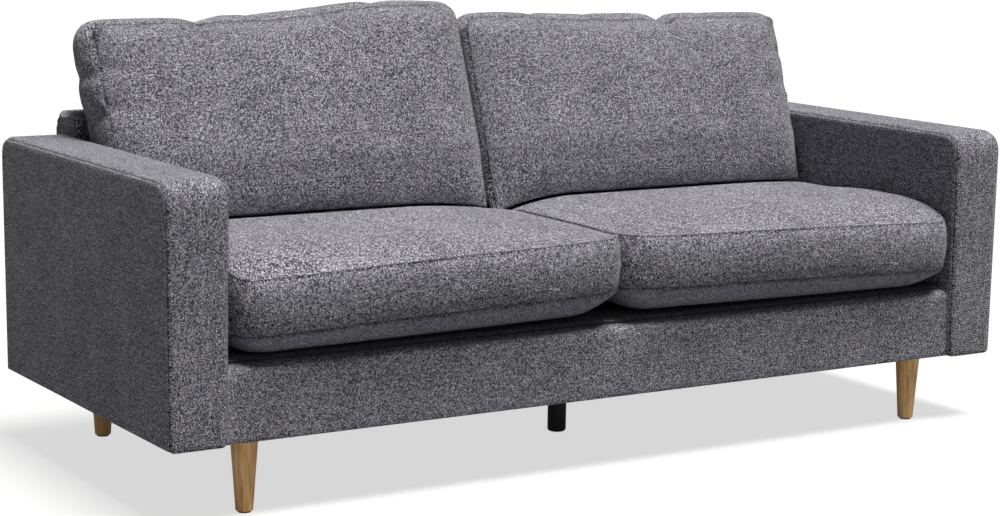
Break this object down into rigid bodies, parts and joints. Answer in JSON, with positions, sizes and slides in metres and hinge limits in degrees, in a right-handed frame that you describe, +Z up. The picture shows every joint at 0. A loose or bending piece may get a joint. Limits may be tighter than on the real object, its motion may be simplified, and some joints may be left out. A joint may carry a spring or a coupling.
{
  "type": "sofa",
  "caption": "Upholstered sofa with square track arms, loose box seat and back cushions, a low back frame and tapered round wooden legs.",
  "frame": {"origin": "on the floor, midway between the arms and midway between the front and rear of the arms", "axes": "+X across the sofa towards the right as seen from the front, -Y towards the front, +Z up"},
  "size_m": [2.04, 0.874, 0.9141],
  "materials": {
    "cover_fabric": "matte",
    "deck_fabric": "matte",
    "dust_fabric": "matte",
    "foam": "matte",
    "filling": "matte",
    "felt": "matte",
    "strap_webbing": "matte",
    "frame_wood": "matte",
    "plywood": "matte",
    "hardboard": "matte",
    "leg_wood": "satin",
    "leg_plastic": "satin",
    "glide_plastic": "matte",
    "spring_steel": "satin",
    "zinc_steel": "satin",
    "zip_tape": "matte",
    "zip_metal": "satin"
  },
  "bodies": {
    "sofa_frame": {"front_rail_cover": "cover_fabric", "left_arm_cover": "cover_fabric", "right_arm_cover": "cover_fabric", "back_cover": "cover_fabric", "outside_back_cover": "cover_fabric", "deck_cloth": "deck_fabric", "dust_cover": "dust_fabric", "front_rail_foam": "foam", "left_arm_foam": "foam", "right_arm_foam": "foam", "back_foam": "foam", "deck_pad": "felt", "back_straps": "strap_webbing", "front_seat_rail": "frame_wood", "rear_seat_rail": "frame_wood", "left_seat_rail": "frame_wood", "right_seat_rail": "frame_wood", "centre_seat_rail": "frame_wood", "corner_blocks": "frame_wood", "left_arm_frame": "frame_wood", "right_arm_frame": "frame_wood", "back_top_rail": "frame_wood", "back_liner_rail": "frame_wood", "back_posts": "frame_wood", "leg_plates": "plywood", "centre_leg_block": "plywood", "left_arm_inner_panel": "plywood", "right_arm_inner_panel": "plywood", "left_arm_outer_panel": "plywood", "right_arm_outer_panel": "plywood", "outside_back_board": "hardboard", "front_left_leg": "leg_wood", "front_right_leg": "leg_wood", "rear_left_leg": "leg_wood", "rear_right_leg": "leg_wood", "centre_leg": "leg_plastic", "leg_glides": "glide_plastic", "seat_springs": "spring_steel", "spring_tie_wires": "spring_steel", "leg_t_nuts": "zinc_steel", "leg_bolts": "zinc_steel", "arm_screws": "zinc_steel", "spring_clips": "zinc_steel"},
    "left_seat_cushion": {"left_seat_cover": "cover_fabric", "left_seat_core": "foam", "left_seat_zip": "zip_tape"},
    "left_back_cushion": {"left_back_cushion_cover": "cover_fabric", "left_back_filling": "filling", "left_back_zip": "zip_tape"},
    "left_seat_zip_slider": {"left_seat_zip_slider": "zip_metal"},
    "left_back_zip_slider": {"left_back_zip_slider": "zip_metal"},
    "right_seat_cushion": {"right_seat_cover": "cover_fabric", "right_seat_core": "foam", "right_seat_zip": "zip_tape"},
    "right_back_cushion": {"right_back_cushion_cover": "cover_fabric", "right_back_filling": "filling", "right_back_zip": "zip_tape"},
    "right_seat_zip_slider": {"right_seat_zip_slider": "zip_metal"},
    "right_back_zip_slider": {"right_back_zip_slider": "zip_metal"}
  },
  "joints": [
    {"name": "left_seat_cushion_pull", "type": "slide", "parent": "sofa_frame", "child": "left_seat_cushion", "axis": [0, -1, 0], "range_m": [0, 0.66]},
    {"name": "left_back_cushion_lift", "type": "slide", "parent": "sofa_frame", "child": "left_back_cushion", "axis": [0, 0, 1], "range_m": [0, 0.45]},
    {"name": "right_seat_cushion_pull", "type": "slide", "parent": "sofa_frame", "child": "right_seat_cushion", "axis": [0, -1, 0], "range_m": [0, 0.66]},
    {"name": "right_back_cushion_lift", "type": "slide", "parent": "sofa_frame", "child": "right_back_cushion", "axis": [0, 0, 1], "range_m": [0, 0.45]},
    {"name": "left_seat_zip_travel", "type": "slide", "parent": "left_seat_cushion", "child": "left_seat_zip_slider", "axis": [-1, 0, 0], "range_m": [0, 0.476]},
    {"name": "left_back_zip_travel", "type": "slide", "parent": "left_back_cushion", "child": "left_back_zip_slider", "axis": [1, 0, 0], "range_m": [0, 0.476]},
    {"name": "right_seat_zip_travel", "type": "slide", "parent": "right_seat_cushion", "child": "right_seat_zip_slider", "axis": [-1, 0, 0], "range_m": [0, 0.476]},
    {"name": "right_back_zip_travel", "type": "slide", "parent": "right_back_cushion", "child": "right_back_zip_slider", "axis": [1, 0, 0], "range_m": [0, 0.476]}
  ]
}
